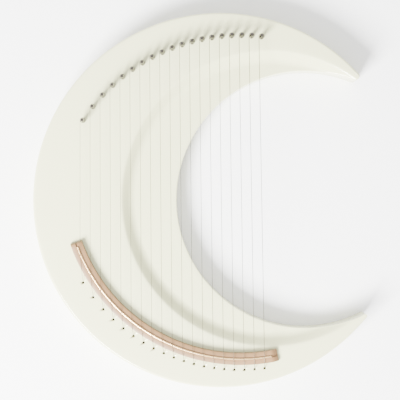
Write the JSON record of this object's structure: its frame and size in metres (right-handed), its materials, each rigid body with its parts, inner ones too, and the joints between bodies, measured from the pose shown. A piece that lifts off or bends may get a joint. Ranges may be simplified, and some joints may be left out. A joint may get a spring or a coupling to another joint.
{
  "type": "lyre harp",
  "caption": "Crescent-bodied lyre harp with carved recess, curved bridge, plain wire strings and turning tuning pins.",
  "frame": {"origin": "under the middle of the body, on the surface that it lies on", "axes": "+X across the body to the open side, +Y up along the strings, +Z out of the soundboard"},
  "size_m": [0.4008, 0.4498, 0.058],
  "materials": {
    "ivory_lacquer": "satin-gloss lacquer",
    "bridge_wood": "oiled",
    "saddle_rod": "satin",
    "block_wood": "raw",
    "nickel_pin": "polished nickel",
    "steel_wire": "bright"
  },
  "bodies": {
    "root": {"soundboard": "ivory_lacquer", "body_frame": "ivory_lacquer", "back_plate": "ivory_lacquer", "pin_block": "block_wood", "bridge": "bridge_wood", "saddle": "saddle_rod", "string_01": "steel_wire", "string_02": "steel_wire", "string_03": "steel_wire", "string_04": "steel_wire", "string_05": "steel_wire", "string_06": "steel_wire", "string_07": "steel_wire", "string_08": "steel_wire", "string_09": "steel_wire", "string_10": "steel_wire", "string_11": "steel_wire", "string_12": "steel_wire", "string_13": "steel_wire", "string_14": "steel_wire", "string_15": "steel_wire", "string_16": "steel_wire", "string_17": "steel_wire", "string_18": "steel_wire", "string_19": "steel_wire"},
    "pin_01": {"tuning_pin_01": "nickel_pin"},
    "pin_02": {"tuning_pin_02": "nickel_pin"},
    "pin_03": {"tuning_pin_03": "nickel_pin"},
    "pin_04": {"tuning_pin_04": "nickel_pin"},
    "pin_05": {"tuning_pin_05": "nickel_pin"},
    "pin_06": {"tuning_pin_06": "nickel_pin"},
    "pin_07": {"tuning_pin_07": "nickel_pin"},
    "pin_08": {"tuning_pin_08": "nickel_pin"},
    "pin_09": {"tuning_pin_09": "nickel_pin"},
    "pin_10": {"tuning_pin_10": "nickel_pin"},
    "pin_11": {"tuning_pin_11": "nickel_pin"},
    "pin_12": {"tuning_pin_12": "nickel_pin"},
    "pin_13": {"tuning_pin_13": "nickel_pin"},
    "pin_14": {"tuning_pin_14": "nickel_pin"},
    "pin_15": {"tuning_pin_15": "nickel_pin"},
    "pin_16": {"tuning_pin_16": "nickel_pin"},
    "pin_17": {"tuning_pin_17": "nickel_pin"},
    "pin_18": {"tuning_pin_18": "nickel_pin"},
    "pin_19": {"tuning_pin_19": "nickel_pin"}
  },
  "joints": [
    {"name": "pin_01_turn", "type": "hinge", "parent": "root", "child": "pin_01", "pos_m": [-0.13971, 0.09484, 0.038], "axis": [0, 0, -1], "range_deg": [-1080, 90], "deforming": ["string_01"]},
    {"name": "pin_02_turn", "type": "hinge", "parent": "root", "child": "pin_02", "pos_m": [-0.12788, 0.1112, 0.038], "axis": [0, 0, -1], "range_deg": [-1080, 90], "deforming": ["string_02"]},
    {"name": "pin_03_turn", "type": "hinge", "parent": "root", "child": "pin_03", "pos_m": [-0.11605, 0.12491, 0.038], "axis": [0, 0, -1], "range_deg": [-1080, 90], "deforming": ["string_03"]},
    {"name": "pin_04_turn", "type": "hinge", "parent": "root", "child": "pin_04", "pos_m": [-0.10422, 0.13666, 0.038], "axis": [0, 0, -1], "range_deg": [-1080, 90], "deforming": ["string_04"]},
    {"name": "pin_05_turn", "type": "hinge", "parent": "root", "child": "pin_05", "pos_m": [-0.09239, 0.14682, 0.038], "axis": [0, 0, -1], "range_deg": [-1080, 90], "deforming": ["string_05"]},
    {"name": "pin_06_turn", "type": "hinge", "parent": "root", "child": "pin_06", "pos_m": [-0.08056, 0.15567, 0.038], "axis": [0, 0, -1], "range_deg": [-1080, 90], "deforming": ["string_06"]},
    {"name": "pin_07_turn", "type": "hinge", "parent": "root", "child": "pin_07", "pos_m": [-0.06873, 0.16339, 0.038], "axis": [0, 0, -1], "range_deg": [-1080, 90], "deforming": ["string_07"]},
    {"name": "pin_08_turn", "type": "hinge", "parent": "root", "child": "pin_08", "pos_m": [-0.0569, 0.1701, 0.038], "axis": [0, 0, -1], "range_deg": [-1080, 90], "deforming": ["string_08"]},
    {"name": "pin_09_turn", "type": "hinge", "parent": "root", "child": "pin_09", "pos_m": [-0.04507, 0.17591, 0.038], "axis": [0, 0, -1], "range_deg": [-1080, 90], "deforming": ["string_09"]},
    {"name": "pin_10_turn", "type": "hinge", "parent": "root", "child": "pin_10", "pos_m": [-0.03324, 0.1809, 0.038], "axis": [0, 0, -1], "range_deg": [-1080, 90], "deforming": ["string_10"]},
    {"name": "pin_11_turn", "type": "hinge", "parent": "root", "child": "pin_11", "pos_m": [-0.02141, 0.18511, 0.038], "axis": [0, 0, -1], "range_deg": [-1080, 90], "deforming": ["string_11"]},
    {"name": "pin_12_turn", "type": "hinge", "parent": "root", "child": "pin_12", "pos_m": [-0.00958, 0.1886, 0.038], "axis": [0, 0, -1], "range_deg": [-1080, 90], "deforming": ["string_12"]},
    {"name": "pin_13_turn", "type": "hinge", "parent": "root", "child": "pin_13", "pos_m": [0.00225, 0.19139, 0.038], "axis": [0, 0, -1], "range_deg": [-1080, 90], "deforming": ["string_13"]},
    {"name": "pin_14_turn", "type": "hinge", "parent": "root", "child": "pin_14", "pos_m": [0.01408, 0.19353, 0.038], "axis": [0, 0, -1], "range_deg": [-1080, 90], "deforming": ["string_14"]},
    {"name": "pin_15_turn", "type": "hinge", "parent": "root", "child": "pin_15", "pos_m": [0.02591, 0.19501, 0.038], "axis": [0, 0, -1], "range_deg": [-1080, 90], "deforming": ["string_15"]},
    {"name": "pin_16_turn", "type": "hinge", "parent": "root", "child": "pin_16", "pos_m": [0.03774, 0.19587, 0.038], "axis": [0, 0, -1], "range_deg": [-1080, 90], "deforming": ["string_16"]},
    {"name": "pin_17_turn", "type": "hinge", "parent": "root", "child": "pin_17", "pos_m": [0.04957, 0.19609, 0.038], "axis": [0, 0, -1], "range_deg": [-1080, 90], "deforming": ["string_17"]},
    {"name": "pin_18_turn", "type": "hinge", "parent": "root", "child": "pin_18", "pos_m": [0.0614, 0.1957, 0.038], "axis": [0, 0, -1], "range_deg": [-1080, 90], "deforming": ["string_18"]},
    {"name": "pin_19_turn", "type": "hinge", "parent": "root", "child": "pin_19", "pos_m": [0.07323, 0.19468, 0.038], "axis": [0, 0, -1], "range_deg": [-1080, 90], "deforming": ["string_19"]}
  ]
}
